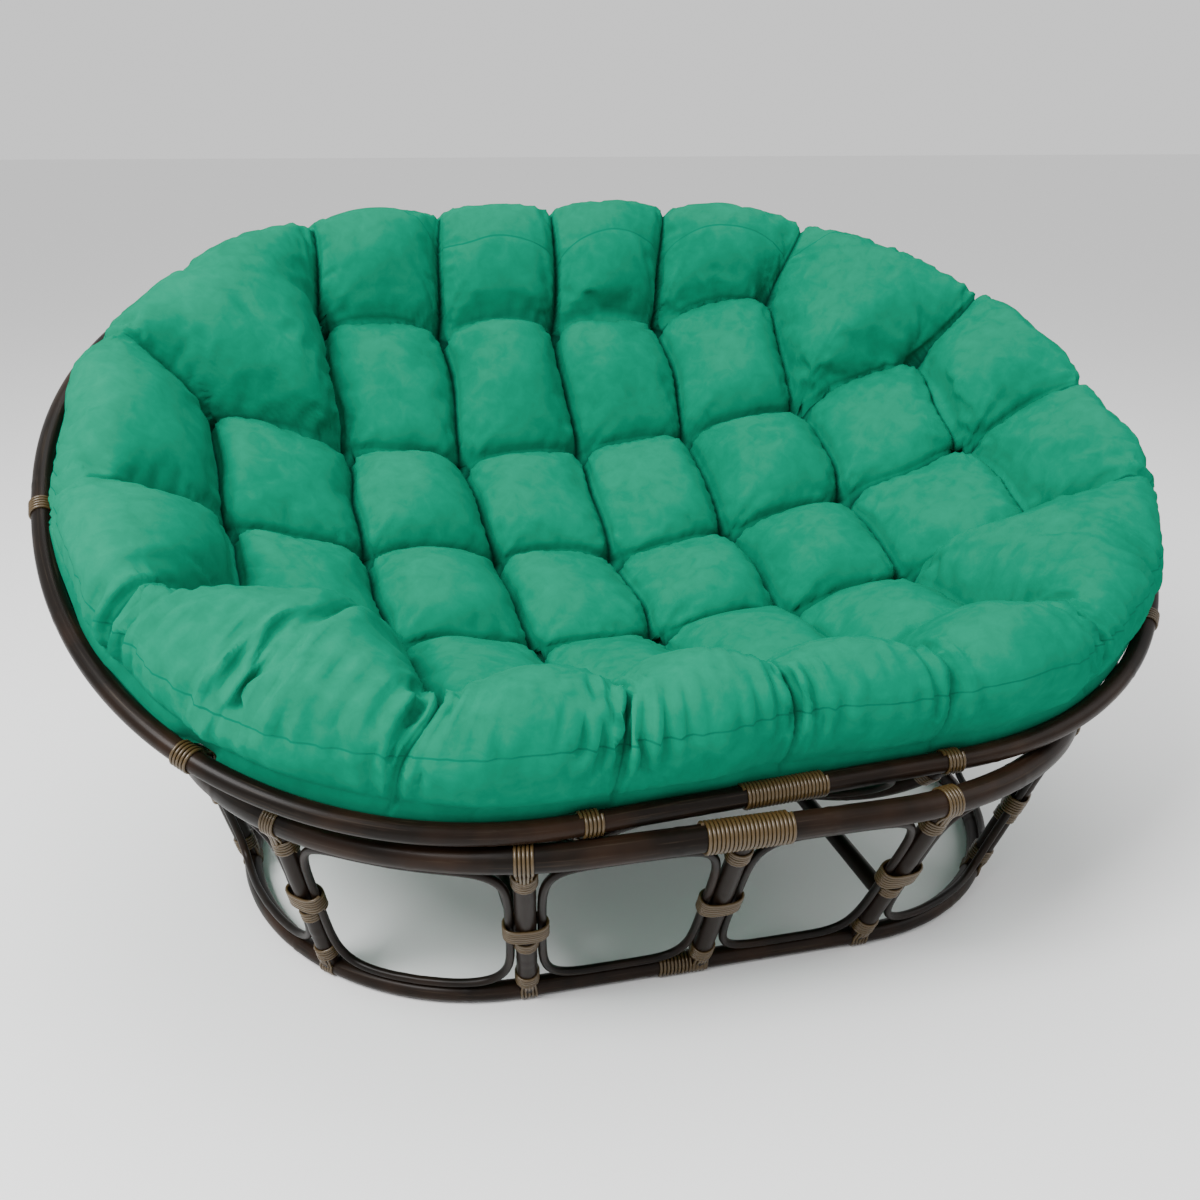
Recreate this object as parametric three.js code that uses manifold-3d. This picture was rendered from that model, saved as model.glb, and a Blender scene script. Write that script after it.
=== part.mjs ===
// Double papasan: an oval rattan bowl with a tufted cushion, lying tilted back on an oval rattan base.
// Millimetres, +Z up, +X to the sitter's left as seen from the front, the front facing -Y.
import * as THREE from 'three';
import { mergeVertices } from 'three/addons/utils/BufferGeometryUtils.js';
import Module from 'manifold-3d';

const wasm = await Module();
wasm.setup();

// Driving dimensions of the bowl
const bowlLength = 1651;
const bowlWidth = 1259;
const bowlStraight = 490;
const bowlDepth = 468;
const bowlSquareness = 2.18;
const bowlTilt = THREE.MathUtils.degToRad(25.9);
const bowlTurn = THREE.MathUtils.degToRad(4.4);
const bowlAside = 14.7;
const bowlSetBack = 4.6;
const bowlSeatReach = 44.35;
const endLiftShare = 0.55;
const rimDiameter = 28;
const ribDiameter = 26;
const bowlLoopDiameter = 11;
const bowlFloorShare = 0.34;
const bowlFloorRingDiameter = 24;

// Driving dimensions of the base
const topRingInsetEnds = 156.5;
const topRingInsetSides = 120;
const topRingLength = bowlLength - 2 * topRingInsetEnds;
const topRingWidth = bowlWidth - 2 * topRingInsetSides;
const topRingStraight = 374;
const topRingHeight = 310;
const topRingDiameter = 36;
const footRingLength = 1202;
const footRingWidth = 850;
const footRingStraight = 505;
const footRingDiameter = 32;
const footSetBack = 71;
const ringSquareness = 2;
const postDiameter = 28;
const baseLoopDiameter = 12;
const crossBarDiameter = 26;
const crossBarHeight = 112;

// Bindings: thin split cane wound round the joints
const caneThickness = 2.4;
const strapWidth = 22;
const turnsHeight = 26;
const midBindingHeight = 32;
const spliceCaneWidth = 4.6;
const spliceCaneThickness = 1.8;
const spliceCaneGap = 0.7;
const rimSpliceTurns = 22;
const topSpliceTurns = 21;

// Cushion, measured from the plane of the bowl's rim
const tuftPitchX = 206;
const tuftPitchY = 223;
const netShiftX = 25;
const netShiftY = 15;
const tuftHeight = 60;
const seatDepth = 300;
const seatFullness = 2.2;
const frontLift = 90;
const creaseRise = 32;
const pillowRise = 66;
const crestHeight = 98;
const frontCrestRise = 44;
const creaseDrop = 20;
const topShiftX = 22;
const neckShare = 0.963;
const bulgeShare = 0.983;
const crestShare = 0.952;
const frontCrestShare = 0.882;
const cushionClearance = 3;

// Clearances
const jointGap = 0.3;
const bandGap = 1.6;
const loopGap = 1.6;

// Facets
const poleSides = 8;
const caneSides = 5;
const quarterSteps = 8;
const loopSteps = 22;
const bowlLoopSteps = 24;
const ribSteps = 9;
const spliceSteps = 6;
const pillowSteps = 4;

// Where the uprights stand along each ring: 0 is the middle of the front, 1 an end, 2 the middle of the back
const postShares = [0, 0.28, 0.615, 1, 1.385, 1.72, 2, -1.72, -1.385, -1, -0.615, -0.28];
const crossBarPosts = [[1, 5], [11, 7]];
const rimSpliceShare = 0.2;
const ribShares = [0.2, 0.6, 1, 1.4, 1.8, -1.8, -1.4, -1, -0.6, -0.2];

const rattan = new THREE.MeshStandardMaterial({ color: 0x3b2c25, roughness: 0.38, metalness: 0 });
const slimRattan = new THREE.MeshStandardMaterial({ color: 0x33261f, roughness: 0.45, metalness: 0 });
const cane = new THREE.MeshStandardMaterial({ color: 0x8c7147, roughness: 0.42, metalness: 0 });
const suede = new THREE.MeshStandardMaterial({ color: 0x2f9f7d, roughness: 0.92, metalness: 0 });

const chair = new THREE.Group();
const base = new THREE.Group();
const bowl = new THREE.Group();
chair.add(base, bowl);

function addPiece(group, name, geometry, material) {
  const piece = new THREE.Mesh(geometry, material);
  piece.name = name;
  group.add(piece);
  return piece;
}

// A path that is stepped exactly at the points it is given
class PathThrough extends THREE.Curve {
  constructor(points) {
    super();
    this.points = points;
  }

  getPoint(t, target = new THREE.Vector3()) {
    const last = this.points.length - 1;
    const start = Math.min(Math.floor(t * last), last - 1);
    return target.lerpVectors(this.points[start], this.points[start + 1], t * last - start);
  }

  getUtoTmapping(u) {
    return u;
  }
}

const flatToAxis = Math.cos(Math.PI / poleSides);

function roundSection(radius, sides) {
  const corners = [];
  for (let i = 0; i < sides; i++) {
    const angle = (i + 0.5) / sides * Math.PI * 2;
    corners.push(new THREE.Vector2(Math.cos(angle) * radius, Math.sin(angle) * radius));
  }
  return new THREE.Shape(corners);
}

function sweep(section, points) {
  return new THREE.ExtrudeGeometry(section, {
    steps: points.length - 1,
    bevelEnabled: false,
    extrudePath: new PathThrough(points),
  });
}

function pole(points, diameter, sides = poleSides) {
  return sweep(roundSection(diameter / 2, sides), points);
}

// An oval with straight front and back runs: point at an angle, and a closed run of points from the front
function ovalPoint(oval, angle, scale = 1) {
  const c = Math.cos(angle);
  const s = Math.sin(angle);
  const end = (oval.length - oval.straight) / 2;
  const x = Math.sign(c) * (Math.abs(c) ** (2 / oval.squareness) * end + oval.straight / 2);
  const y = Math.sign(s) * Math.abs(s) ** (2 / oval.squareness) * oval.width / 2;
  return new THREE.Vector3(x * scale, y * scale + oval.y, oval.z);
}

function ovalRun(oval) {
  const points = [new THREE.Vector3(0, oval.y - oval.width / 2, oval.z)];
  for (let quarter = 0; quarter < 4; quarter++) {
    for (let i = 0; i <= quarterSteps; i++) {
      const nearEnd = Math.min(Math.max(i / quarterSteps, 1e-6), 1 - 1e-6);
      const angle = (quarter - 1 + nearEnd) * Math.PI / 2;
      const point = ovalPoint(oval, angle);
      const previous = points[points.length - 1];
      if (point.distanceTo(previous) > oval.width / 1000) points.push(point);
    }
    if (quarter === 1) points.push(new THREE.Vector3(0, oval.y + oval.width / 2, oval.z));
  }
  points.push(points[0].clone());
  return points;
}

function runLength(points) {
  let length = 0;
  for (let i = 1; i < points.length; i++) length += points[i].distanceTo(points[i - 1]);
  return length;
}

function pointAlong(points, distance) {
  let left = distance;
  for (let i = 1; i < points.length; i++) {
    const step = points[i].distanceTo(points[i - 1]);
    if (left <= step || i === points.length - 1) return points[i - 1].clone().lerp(points[i], left / step);
    left -= step;
  }
  return points[0].clone();
}

function atShare(run, share) {
  const length = runLength(run);
  return pointAlong(run, ((share / 4 + 1) % 1) * length);
}

// The stretch of a ring on both sides of a share, as a short run of its own
function stretchAt(run, share, width) {
  const length = runLength(run);
  const half = width / 2 / length * 4;
  return [atShare(run, share - half), atShare(run, share), atShare(run, share + half)];
}

// A closed run opened by a joint's gap at its start, where the pole's two ends meet
function opened(points, gap) {
  const length = runLength(points);
  const run = points.slice(1, -1);
  run.unshift(pointAlong(points, gap / 2));
  run.push(pointAlong(points, length - gap / 2));
  return run;
}

// A closed run cut into equal steps, with its ends a joint's gap apart
function evenRun(points, steps, gap) {
  const length = runLength(points);
  const run = [];
  for (let i = 0; i <= steps; i++) run.push(pointAlong(points, gap / 2 + (length - gap) * i / steps));
  return run;
}

function solidOf(geometry) {
  const bare = geometry.clone();
  bare.deleteAttribute('normal');
  bare.deleteAttribute('uv');
  const merged = mergeVertices(bare, 1e-4);
  return new wasm.Manifold(new wasm.Mesh({
    numProp: 3,
    vertProperties: Float32Array.from(merged.attributes.position.array),
    triVerts: Uint32Array.from(merged.index.array),
  }));
}

function geometryOf(solid) {
  const mesh = solid.getMesh();
  const geometry = new THREE.BufferGeometry();
  geometry.setAttribute('position', new THREE.BufferAttribute(Float32Array.from(mesh.vertProperties), 3));
  geometry.setIndex(Array.from(mesh.triVerts));
  geometry.computeVertexNormals();
  return geometry;
}

// Joins pieces into one body and clears it off the poles it meets
function joined(geometries, clearances) {
  const whole = geometries.map(solidOf).reduce((sum, piece) => sum.add(piece));
  return geometryOf(clearances.reduce((rest, clearance) => rest.subtract(clearance), whole));
}

function clearanceRound(run, diameter) {
  return solidOf(pole(opened(run, jointGap / 2), diameter + 2 * jointGap / flatToAxis));
}

// How far from a ring's axis a pole stays under the ring's splice winding
function underSplice(ringDiameter) {
  return (ringDiameter / 2 + jointGap) / Math.cos(Math.PI / spliceSteps) + 2.2 * spliceCaneThickness;
}

// A sleeve of cane straps round a ring, where an upright meets it
function strapSleeve(run, share, ringDiameter) {
  const [before, , after] = stretchAt(run, share, strapWidth);
  return pole([before, after], ringDiameter + 2 * (jointGap + caneThickness));
}

// Turns of cane round an upright, from one point to another on its axis
function turns(from, to, diameter) {
  return pole([from, to], diameter + 2 * caneThickness);
}

// The flat oval band that ties an upright to the slim loops on both sides of it
function tieBand(centre, up, along, thick, slim, height) {
  const reach = thick / 2 + slim + 2 * jointGap + bandGap;
  const depth = thick / 2 * 0.9;
  const outline = (extra) => {
    const points = [];
    for (let side = 0; side < 2; side++) {
      for (let i = 0; i <= 4; i++) {
        const angle = (side ? 1.5 : 0.5) * Math.PI - i / 4 * Math.PI + Math.PI;
        const shift = (side ? -1 : 1) * (reach - depth);
        points.push(new THREE.Vector2(shift + Math.cos(angle) * -(depth + extra), Math.sin(angle) * (depth + extra)));
      }
    }
    return points;
  };
  const band = new THREE.Shape(outline(caneThickness));
  band.holes.push(new THREE.Path(outline(0)));
  const geometry = new THREE.ExtrudeGeometry(band, { depth: height, steps: 1, bevelEnabled: false });
  geometry.translate(0, 0, -height / 2);
  const out = new THREE.Vector3().crossVectors(up, along).normalize();
  const side = new THREE.Vector3().crossVectors(out, up).normalize();
  geometry.applyMatrix4(new THREE.Matrix4().makeBasis(side, out, up).setPosition(centre));
  return geometry;
}

// A slim pole bent to a rounded four-sided loop on a surface; the surface is asked for points
// at -1 to 1 across and -1 to 1 up
function loopRun(surface, steps, bulge) {
  const points = [];
  const samples = 96;
  for (let i = 0; i <= samples; i++) {
    const angle = Math.PI / 2 + i / samples * Math.PI * 2;
    const c = Math.cos(angle);
    const s = Math.sin(angle);
    const across = Math.sign(c) * Math.abs(c) ** (2 / bulge);
    const up = Math.sign(s) * Math.abs(s) ** (2 / bulge);
    points.push(surface(across, up));
  }
  return evenRun(points, steps, jointGap);
}

// Flat cane wound round a ring in one unbroken run over a splice
function windingGeometry(run, share, ringDiameter, turnCount) {
  const pitch = spliceCaneWidth + spliceCaneGap;
  const steps = turnCount * spliceSteps;
  const inner = (ringDiameter / 2 + jointGap) / Math.cos(Math.PI / spliceSteps);
  const corners = [[-0.5, 0], [0.5, 0], [0.5, 1], [-0.5, 1]];
  const up = new THREE.Vector3(0, 0, 1);
  const perShare = runLength(run) / 4;
  const rings = [];
  for (let i = 0; i <= steps; i++) {
    const turn = i / spliceSteps;
    const centre = (turn - turnCount / 2) * pitch / perShare + share;
    const angle = turn * Math.PI * 2;
    rings.push(corners.map(([along, outward]) => {
      const [before, point, after] = stretchAt(run, centre + along * spliceCaneWidth / perShare, spliceCaneWidth * 2);
      const axis = after.sub(before).normalize();
      const out = new THREE.Vector3().crossVectors(up, axis);
      const reach = inner + outward * spliceCaneThickness;
      return point.addScaledVector(up, Math.cos(angle) * reach).addScaledVector(out, Math.sin(angle) * reach);
    }));
  }
  let leastGap = Infinity;
  for (let i = spliceSteps; i <= steps; i++) {
    const earlier = rings[i - spliceSteps];
    leastGap = Math.min(leastGap, rings[i][0].distanceTo(earlier[1]), rings[i][3].distanceTo(earlier[2]));
  }
  console.log(`winding of ${turnCount} turns: least gap between turns ${leastGap.toFixed(2)} mm`);
  return skin(rings);
}

// Closes rings of equally many points into one solid, with a fan on each end
function skin(rings) {
  const count = rings[0].length;
  const positions = [];
  for (const ring of rings) for (const point of ring) positions.push(point.x, point.y, point.z);
  const faces = [];
  for (let i = 0; i + 1 < rings.length; i++) {
    for (let k = 0; k < count; k++) {
      const a = i * count + k;
      const b = i * count + (k + 1) % count;
      faces.push(a, b, b + count, a, b + count, a + count);
    }
  }
  const last = (rings.length - 1) * count;
  for (let k = 1; k + 1 < count; k++) {
    faces.push(0, k + 1, k);
    faces.push(last, last + k, last + k + 1);
  }
  return facingOut(positions, faces);
}

// A geometry whose faces all point outwards
function facingOut(positions, faces) {
  let volume = 0;
  const corner = (index) => new THREE.Vector3().fromArray(positions, index * 3);
  for (let i = 0; i < faces.length; i += 3) {
    volume += corner(faces[i]).dot(corner(faces[i + 1]).cross(corner(faces[i + 2])));
  }
  if (volume < 0) for (let i = 0; i < faces.length; i += 3) [faces[i], faces[i + 1]] = [faces[i + 1], faces[i]];
  const geometry = new THREE.BufferGeometry();
  geometry.setAttribute('position', new THREE.Float32BufferAttribute(positions, 3));
  geometry.setIndex(faces);
  geometry.computeVertexNormals();
  return geometry;
}

// Rings of the base; the foot ring stands on its flat lowest facets
const footRingZ = footRingDiameter / 2 * flatToAxis;
const topOval = {
  length: topRingLength, width: topRingWidth, straight: topRingStraight,
  squareness: ringSquareness, y: 0, z: topRingHeight,
};
const footOval = {
  length: footRingLength, width: footRingWidth, straight: footRingStraight,
  squareness: ringSquareness, y: footSetBack, z: footRingZ,
};
const topRun = ovalRun(topOval);
const footRun = ovalRun(footOval);
addPiece(base, 'base_top_ring', pole(opened(topRun, jointGap), topRingDiameter), rattan);
addPiece(base, 'base_foot_ring', pole(opened(footRun, jointGap), footRingDiameter), rattan);
const clearOfBaseRings = [clearanceRound(topRun, topRingDiameter), clearanceRound(footRun, footRingDiameter)];

// Uprights with their bindings
const posts = postShares.map((share) => {
  const top = atShare(topRun, share);
  const foot = atShare(footRun, share);
  const up = top.clone().sub(foot).normalize();
  const stretch = stretchAt(topRun, share, strapWidth);
  const footStretch = stretchAt(footRun, share, strapWidth);
  const along = stretch[2].sub(stretch[0]).add(footStretch[2]).sub(footStretch[0]).normalize();
  return { share, top, foot, up, along, length: top.distanceTo(foot) };
});
posts.forEach((post, i) => {
  const highDepth = post.share ? topRingDiameter / 3 : underSplice(topRingDiameter);
  const low = post.foot.clone().addScaledVector(post.up, footRingDiameter / 3);
  const high = post.top.clone().addScaledVector(post.up, -highDepth);
  const underTop = post.top.clone().addScaledVector(post.up, -Math.max(highDepth, topRingDiameter / 2));
  const aboveFoot = post.foot.clone().addScaledVector(post.up, footRingDiameter / 2);
  const middle = post.foot.clone().lerp(post.top, 0.5);
  const parts = [
    pole([low, high], postDiameter),
    turns(underTop.clone().addScaledVector(post.up, -turnsHeight), underTop, postDiameter),
    turns(aboveFoot, aboveFoot.clone().addScaledVector(post.up, turnsHeight), postDiameter),
    tieBand(middle, post.up, post.along, postDiameter, baseLoopDiameter, midBindingHeight),
  ];
  if (post.share !== 0) parts.push(strapSleeve(topRun, post.share, topRingDiameter));
  addPiece(base, `base_post_${String(i + 1).padStart(2, '0')}`, joined(parts, clearOfBaseRings), rattan);
});

// A slim loop in each bay between two uprights
function baseBay(first, second) {
  const next = second.share - first.share;
  const wide = ((next % 4) + 4) % 4;
  return (across, up) => {
    const length = first.length;
    const lowShare = (footRingDiameter / 2 + baseLoopDiameter / 2 + loopGap) / length;
    const highShare = 1 - (topRingDiameter / 2 + baseLoopDiameter / 2 + loopGap) / length;
    const rise = lowShare + (up + 1) / 2 * (highShare - lowShare);
    const at = (t) => atShare(footRun, first.share + wide * t).lerp(atShare(topRun, first.share + wide * t), rise);
    const bayWidth = (runLength(footRun) * (1 - rise) + runLength(topRun) * rise) * wide / 4;
    const inset = (postDiameter / 2 + baseLoopDiameter / 2 + 2 * jointGap) / bayWidth;
    return at(inset + (across + 1) / 2 * (1 - 2 * inset));
  };
}
posts.forEach((post, i) => {
  const surface = baseBay(post, posts[(i + 1) % posts.length]);
  const run = loopRun(surface, loopSteps, 5);
  addPiece(base, `base_loop_${String(i + 1).padStart(2, '0')}`, pole(run, baseLoopDiameter, caneSides), slimRattan);
});

// Two bars across the base from front uprights to back ones
crossBarPosts.forEach((pair, i) => {
  const [from, to] = pair.map((k) => {
    const { foot, top } = posts[k];
    return foot.clone().lerp(top, (crossBarHeight - foot.z) / (top.z - foot.z));
  });
  const clearOfPosts = pair.map((k) => (
    solidOf(pole([posts[k].foot, posts[k].top], postDiameter + 2 * jointGap / flatToAxis))
  ));
  const bar = joined([pole([from, to], crossBarDiameter)], clearOfPosts);
  addPiece(base, i ? 'base_cross_bar_left' : 'base_cross_bar_right', bar, rattan);
});

addPiece(base, 'base_top_splice_binding', windingGeometry(topRun, 0, topRingDiameter, topSpliceTurns), cane);

// The bowl's own frame: rim plane level, origin at the middle of the rim; its section is an arc
const arcRadius = ((bowlWidth / 2) ** 2 + bowlDepth ** 2) / (2 * bowlDepth);
const arcRise = arcRadius - bowlDepth;
const rimOval = {
  length: bowlLength, width: bowlWidth, straight: bowlStraight,
  squareness: bowlSquareness, y: 0, z: 0,
};
const rimRun = ovalRun(rimOval);
function lowered(rimPoint, rho) {
  const point = rimPoint.clone().multiplyScalar(rho);
  const arc = arcRise - Math.sqrt(arcRadius ** 2 - (rho * bowlWidth / 2) ** 2);
  point.z = arc * (1 - endLiftShare * (2 * point.x / bowlLength) ** 2);
  return point;
}
const onBowl = (share, rho) => lowered(atShare(rimRun, share), rho);

const floorRun = rimRun.map((point) => lowered(point, bowlFloorShare));
addPiece(bowl, 'bowl_rim', pole(opened(rimRun, jointGap), rimDiameter), rattan);
addPiece(bowl, 'bowl_floor_ring', pole(opened(floorRun, jointGap), bowlFloorRingDiameter), rattan);
const clearOfBowlRings = [clearanceRound(rimRun, rimDiameter), clearanceRound(floorRun, bowlFloorRingDiameter)];

// Ribs from the rim to the floor ring, each lashed to the rim except where the rim lies on the base
const ribs = ribShares.map((share) => {
  const stations = 200;
  const whole = [];
  for (let i = 0; i <= stations; i++) {
    whole.push(onBowl(share, 1 + (bowlFloorShare - 1) * i / stations));
  }
  const length = runLength(whole);
  const start = share === rimSpliceShare ? underSplice(rimDiameter) : rimDiameter / 3;
  const end = length - bowlFloorRingDiameter / 3;
  const points = [];
  for (let i = 0; i <= ribSteps; i++) points.push(pointAlong(whole, start + (end - start) * i / ribSteps));
  return { share, whole, points, start };
});
ribs.forEach(({ share, whole, points, start }, i) => {
  const parts = [pole(points, ribDiameter)];
  const high = Math.max(start, rimDiameter / 2);
  parts.push(turns(pointAlong(whole, high), pointAlong(whole, high + turnsHeight), ribDiameter));
  if (Math.abs(share) > 0.5) parts.push(strapSleeve(rimRun, share, rimDiameter));
  addPiece(bowl, `bowl_rib_${String(i + 1).padStart(2, '0')}`, joined(parts, clearOfBowlRings), rattan);
});

// A slim loop in each bay of the bowl
ribShares.forEach((share, i) => {
  const next = ribShares[(i + 1) % ribShares.length];
  const wide = (((next - share) % 4) + 4) % 4;
  const rimLength = runLength(rimRun);
  const stations = 200;
  const surface = (across, up) => {
    const topInset = rimDiameter / 2 + bowlLoopDiameter / 2 + loopGap;
    const lowInset = bowlFloorRingDiameter / 2 + bowlLoopDiameter / 2 + loopGap;
    const radial = [];
    const atRho = (rho) => {
      const width = rimLength * rho * wide / 4;
      const inset = ((ribDiameter + bowlLoopDiameter) / 2 + 2 * jointGap) / width;
      return onBowl(share + wide * (inset + (across + 1) / 2 * (1 - 2 * inset)), rho);
    };
    for (let k = 0; k <= stations; k++) radial.push(atRho(bowlFloorShare + (1 - bowlFloorShare) * k / stations));
    const length = runLength(radial);
    return pointAlong(radial, lowInset + (up + 1) / 2 * (length - lowInset - topInset));
  };
  const run = loopRun(surface, bowlLoopSteps, 5);
  addPiece(bowl, `bowl_loop_${String(i + 1).padStart(2, '0')}`, pole(run, bowlLoopDiameter, caneSides), slimRattan);
});
addPiece(bowl, 'bowl_rim_splice_binding', windingGeometry(rimRun, rimSpliceShare, rimDiameter, rimSpliceTurns), cane);

// Cushion: the underside lies in the bowl, the edge passes inside the rim and rolls out over it
const soleLift = ribDiameter / 2 + cushionClearance;
// The rim point straight outwards from a place in the bowl
function rimToward(place) {
  for (let i = 1; i < rimRun.length; i++) {
    const [a, b] = [rimRun[i - 1], rimRun[i]];
    const before = place.x * a.y - place.y * a.x;
    const after = place.x * b.y - place.y * b.x;
    const ahead = place.x * a.x + place.y * a.y > 0;
    if (ahead && before <= 0 && after >= 0) return a.clone().lerp(b, before / (before - after));
  }
  return rimRun[0].clone();
}
const frontness = (place) => Math.max(0, -2 * place.y / bowlWidth);
const seatHeight = (place, rho) => (
  tuftHeight - seatDepth * (1 - rho ** seatFullness) + frontLift * frontness(place) ** 2
);

// Pillows between the tufts, on a net that has its knots at the tufts
const acrossSteps = 3 * pillowSteps;
const deepSteps = 2 * pillowSteps;
const cornerSteps = acrossSteps + pillowSteps;
const inNet = (i, j) => (
  Math.abs(i) <= acrossSteps && Math.abs(j) <= deepSteps && Math.abs(i) + Math.abs(j) <= cornerSteps
);
function netPoint(i, j) {
  const x = netShiftX + i / pillowSteps * tuftPitchX;
  const y = netShiftY + j / pillowSteps * tuftPitchY;
  const place = new THREE.Vector3(x, y, 0);
  const rho = place.length() / rimToward(place).length();
  const u = Math.abs(Math.sin(Math.PI * i / pillowSteps));
  const v = Math.abs(Math.sin(Math.PI * j / pillowSteps));
  const rise = creaseRise * (u + v - u * v) + (pillowRise - creaseRise) * u * v;
  return place.setZ(seatHeight(place, rho) + rise);
}
function netBorder() {
  const border = [];
  const corner = [acrossSteps, cornerSteps - acrossSteps, cornerSteps - deepSteps, deepSteps];
  const knots = [
    [0, -corner[3]], [corner[2], -corner[3]], [corner[0], -corner[1]], [corner[0], corner[1]],
    [corner[2], corner[3]], [-corner[2], corner[3]], [-corner[0], corner[1]], [-corner[0], -corner[1]],
    [-corner[2], -corner[3]], [0, -corner[3]],
  ];
  for (let k = 1; k < knots.length; k++) {
    const [from, to] = [knots[k - 1], knots[k]];
    const steps = Math.max(Math.abs(to[0] - from[0]), Math.abs(to[1] - from[1]));
    for (let n = 0; n < steps; n++) {
      border.push([from[0] + (to[0] - from[0]) * n / steps, from[1] + (to[1] - from[1]) * n / steps]);
    }
  }
  return border;
}
const border = netBorder();
const rimPlaces = border.map(([i, j]) => rimToward(netPoint(i, j)));
const isTuft = border.map(([i, j]) => i % pillowSteps === 0 && j % pillowSteps === 0);

// Rings of points from the middle of the underside round the edge to the border of the net
const solePoint = (rimPlace, rho) => {
  const point = lowered(rimPlace, rho);
  const shrink = 1 - soleLift / arcRadius;
  return new THREE.Vector3(point.x * shrink, point.y * shrink, arcRise + (point.z - arcRise) * shrink);
};
const edgeAt = (inwards, crestPart) => rimPlaces.map((place, k) => {
  const front = frontness(place);
  const drop = isTuft[k] ? creaseDrop : 0;
  const inner = crestShare + (frontCrestShare - crestShare) * front;
  const rho = bulgeShare + (inner - bulgeShare) * inwards - drop / bowlWidth * crestPart;
  const point = place.clone().multiplyScalar(rho);
  return point.setX(point.x + topShiftX * crestPart).setZ((crestHeight + frontCrestRise * front - drop) * crestPart);
});
const rings = [0.25, 0.5, 0.7, 0.87, 0.948].map((rho) => rimPlaces.map((place) => solePoint(place, rho)));
rings.push(rimPlaces.map((place) => place.clone().multiplyScalar(neckShare).setZ(0.4 * rimDiameter)));
rings.push(edgeAt(0, 0.36), edgeAt(0, 0.66), edgeAt(0.36, 0.9));
const crestRing = edgeAt(1, 1);
rings.push(crestRing);
for (const outward of [0.66, 0.3]) {
  rings.push(border.map(([i, j], k) => {
    const inner = netPoint(i, j);
    const place = inner.clone().lerp(crestRing[k], outward);
    return place.setZ(inner.z + (crestRing[k].z - inner.z) * Math.sin(Math.PI / 2 * outward));
  }));
}
rings.push(border.map(([i, j]) => netPoint(i, j)));

function cushionGeometry() {
  const positions = [];
  const faces = [];
  const place = (point) => positions.push(point.x, point.y, point.z) / 3 - 1;
  const count = border.length;
  const index = rings.map((ring) => ring.map(place));
  for (let i = 0; i + 1 < index.length; i++) {
    for (let k = 0; k < count; k++) {
      const after = (k + 1) % count;
      faces.push(index[i][k], index[i][after], index[i + 1][after]);
      faces.push(index[i][k], index[i + 1][after], index[i + 1][k]);
    }
  }
  const low = place(solePoint(new THREE.Vector3(), 0));
  for (let k = 0; k < count; k++) faces.push(low, index[0][(k + 1) % count], index[0][k]);
  const net = new Map(border.map(([i, j], k) => [`${i} ${j}`, index[index.length - 1][k]]));
  const knot = (i, j) => {
    const key = `${i} ${j}`;
    if (!net.has(key)) net.set(key, place(netPoint(i, j)));
    return net.get(key);
  };
  for (let i = -acrossSteps; i < acrossSteps; i++) {
    for (let j = -deepSteps; j < deepSteps; j++) {
      const corners = [[i, j], [i + 1, j], [i + 1, j + 1], [i, j + 1]].filter(([a, b]) => inNet(a, b));
      if (corners.length < 3) continue;
      const ids = corners.map(([a, b]) => knot(a, b));
      faces.push(ids[0], ids[1], ids[2]);
      if (ids.length === 4) faces.push(ids[0], ids[2], ids[3]);
    }
  }
  return facingOut(positions, faces);
}
addPiece(bowl, 'cushion', cushionGeometry(), suede);

// Set the bowl in the base: its arc's centre lies over the middle of the top ring, as high as the ring's front bears it
const bowlRise = Math.sqrt((arcRadius + bowlSeatReach) ** 2 - (topRingWidth / 2 + bowlSetBack) ** 2);
bowl.children.forEach((piece) => piece.geometry.translate(0, 0, -arcRise));
bowl.rotation.set(bowlTilt, 0, bowlTurn, 'ZXY');
bowl.position.set(bowlAside, bowlSetBack, topRingHeight + bowlRise);

// Rest the whole chair on the floor, centred on its own box
chair.updateMatrixWorld(true);
const box = new THREE.Box3().setFromObject(chair, true);
const middle = box.getCenter(new THREE.Vector3());
chair.position.set(-middle.x, -middle.y, -box.min.z);
chair.updateMatrixWorld(true);
console.log('box', box.getSize(new THREE.Vector3()).toArray().map((v) => v.toFixed(2)).join(' '));
console.log('moved by', chair.position.toArray().map((v) => v.toFixed(3)).join(' '));

export default chair;
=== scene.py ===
import math
from collections import Counter
import bpy
import numpy as np
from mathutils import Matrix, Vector


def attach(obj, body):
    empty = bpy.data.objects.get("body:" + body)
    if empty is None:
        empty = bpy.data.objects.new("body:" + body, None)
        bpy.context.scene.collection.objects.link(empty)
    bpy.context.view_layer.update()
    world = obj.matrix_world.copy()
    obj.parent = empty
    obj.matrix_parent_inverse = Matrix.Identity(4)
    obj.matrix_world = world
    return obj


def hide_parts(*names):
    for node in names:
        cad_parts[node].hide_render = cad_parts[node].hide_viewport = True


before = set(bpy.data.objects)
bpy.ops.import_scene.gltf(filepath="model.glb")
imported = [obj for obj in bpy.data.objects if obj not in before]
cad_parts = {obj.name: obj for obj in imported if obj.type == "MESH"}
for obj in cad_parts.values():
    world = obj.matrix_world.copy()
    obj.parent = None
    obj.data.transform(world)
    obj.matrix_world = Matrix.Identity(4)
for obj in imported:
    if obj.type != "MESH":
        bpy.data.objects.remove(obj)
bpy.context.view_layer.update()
print("frame loaded:", len(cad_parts), "solids")

# Shared placing
chairMiddle = {"x": -0.008354, "y": -0.079814}   # the top ring's centre on the floor plan
noise = np.random.default_rng(7)


def deselectAll():
    if bpy.context.object and bpy.context.object.mode != "OBJECT":
        bpy.ops.object.mode_set(mode="OBJECT")
    bpy.ops.object.select_all(action="DESELECT")


def lengthsAlong(points):
    return np.r_[0, np.cumsum(np.linalg.norm(np.diff(points, axis=0), axis=1))]


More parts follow.
